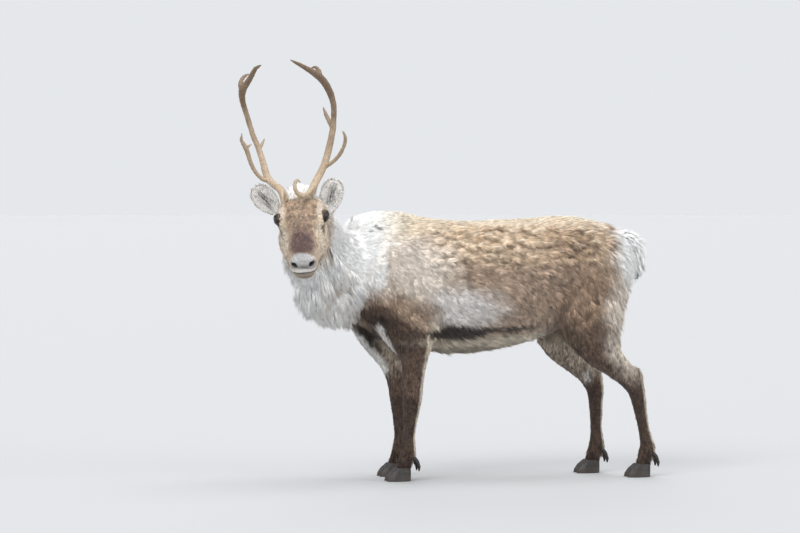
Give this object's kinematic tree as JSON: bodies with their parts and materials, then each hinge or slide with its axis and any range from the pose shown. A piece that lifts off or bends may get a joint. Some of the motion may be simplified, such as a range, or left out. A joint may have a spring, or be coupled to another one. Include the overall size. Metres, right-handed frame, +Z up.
{
  "type": "reindeer",
  "caption": "Life-size standing reindeer cow with slender hard antlers, a pale neck and throat mane, and its head turned to its left.",
  "frame": {"origin": "on the floor, under the middle of the model's box", "axes": "+X towards the tail, +Y towards the animal's right side, +Z up"},
  "size_m": [1.5, 0.6462, 1.4516],
  "materials": {
    "coat": "short dense hair, sandy on the back and grey brown on the flanks",
    "mane": "long soft white hair with faint grey streaks",
    "face": "very short brown hair, pale on the cheeks and the nose pad",
    "ear": "white plush hair, dark inside the cup",
    "leg": "short close brown hair",
    "antler": "hard polished bone, browner towards the tips",
    "hoof": "dark horn with fine growth rings",
    "eye": "wet dark brown"
  },
  "bodies": {
    "root": {"antler_left_back_tine": "antler", "antler_left_beam": "antler", "antler_left_bez_tine": "antler", "antler_left_brow_tine": "antler", "antler_left_crown": "antler", "antler_right_back_tine": "antler", "antler_right_beam": "antler", "antler_right_bez_tine": "antler", "antler_right_brow_tine": "antler", "antler_right_crown": "antler", "ear_left": "ear", "ear_right": "ear", "eye_left": "eye", "eye_right": "eye", "foreleg_left_cannon": "leg", "foreleg_left_dewclaw_inner": "hoof", "foreleg_left_dewclaw_outer": "hoof", "foreleg_left_forearm": "leg", "foreleg_left_hoof_inner": "hoof", "foreleg_left_hoof_outer": "hoof", "foreleg_right_cannon": "leg", "foreleg_right_dewclaw_inner": "hoof", "foreleg_right_dewclaw_outer": "hoof", "foreleg_right_forearm": "leg", "foreleg_right_hoof_inner": "hoof", "foreleg_right_hoof_outer": "hoof", "head": "face", "hindleg_left_cannon": "leg", "hindleg_left_dewclaw_inner": "hoof", "hindleg_left_dewclaw_outer": "hoof", "hindleg_left_gaskin": "leg", "hindleg_left_hoof_inner": "hoof", "hindleg_left_hoof_outer": "hoof", "hindleg_right_cannon": "leg", "hindleg_right_dewclaw_inner": "hoof", "hindleg_right_dewclaw_outer": "hoof", "hindleg_right_gaskin": "leg", "hindleg_right_hoof_inner": "hoof", "hindleg_right_hoof_outer": "hoof", "neck": "mane", "tail": "mane", "torso": "coat"}
  },
  "joints": []
}
